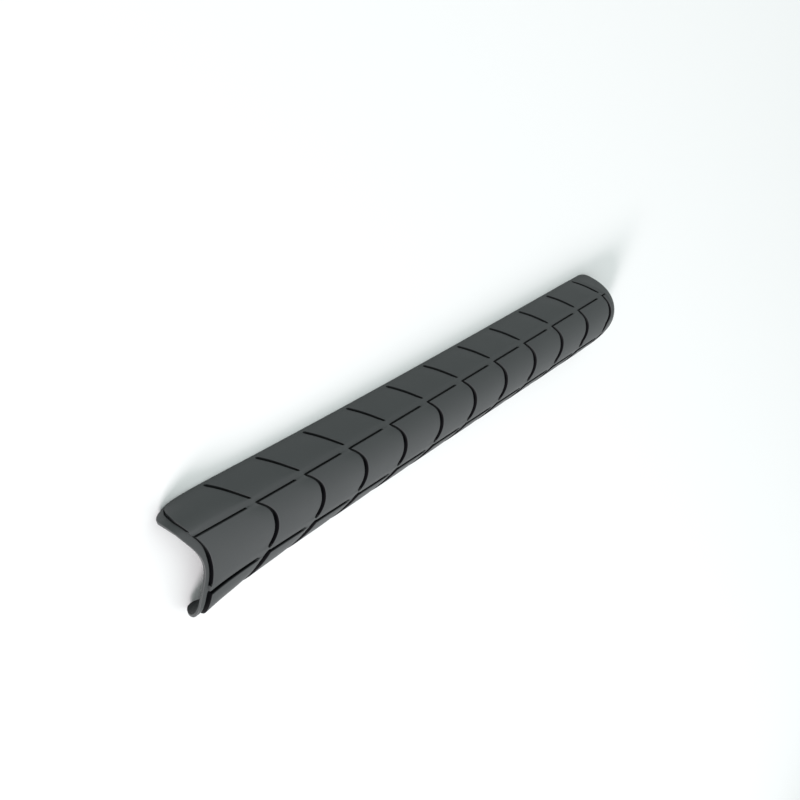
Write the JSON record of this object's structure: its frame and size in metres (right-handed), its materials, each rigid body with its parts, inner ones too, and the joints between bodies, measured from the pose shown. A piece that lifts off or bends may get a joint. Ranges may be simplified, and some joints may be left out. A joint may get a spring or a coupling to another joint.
{
  "type": "bicycle frame protector",
  "caption": "Moulded rubber guard that wraps the underside of a bicycle's down tube, with its outer face grooved into overlapping scales.",
  "frame": {"origin": "middle of the bounding box at its base: on the ground, under the middle of the guard", "axes": "+X along the guard from its wide end, which sits at the bottom bracket, to its narrow end; +Z out of the crown of the arch; the two long edges lie on the ground along X"},
  "size_m": [0.358, 0.0654, 0.0209],
  "materials": {
    "rubber": "matte charcoal black, fine moulded grain"
  },
  "bodies": {
    "root": {"tube_guard": "rubber"}
  },
  "joints": []
}
